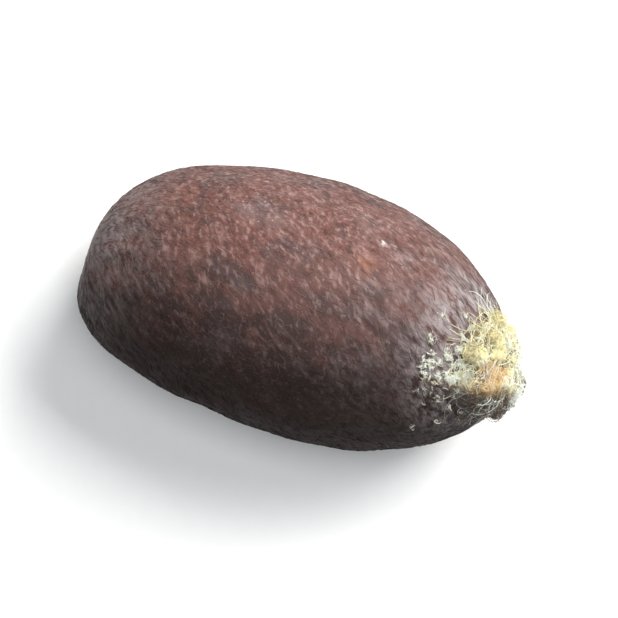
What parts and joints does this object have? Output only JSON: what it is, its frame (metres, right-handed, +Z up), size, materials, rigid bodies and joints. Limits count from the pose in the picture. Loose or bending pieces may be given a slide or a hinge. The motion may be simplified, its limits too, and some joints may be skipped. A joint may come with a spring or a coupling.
{
  "type": "cotton seed",
  "caption": "Egg-shaped brown cotton seed with a drawn-out point, a raised seam down one side and a tuft of cream lint left on the point.",
  "frame": {"origin": "middle of the seed's footprint, on the surface that it lies on", "axes": "+X along the seed towards the pointed end with the lint, +Y across it away from the seam, +Z up"},
  "size_m": [0.0094, 0.0054, 0.0046],
  "materials": {
    "seed_coat": "dull red-brown seed coat with a faint velvety sheen",
    "lint": "matted cream cotton fibres"
  },
  "bodies": {
    "root": {"seed_coat": "seed_coat", "lint_tuft": "lint"}
  },
  "joints": []
}
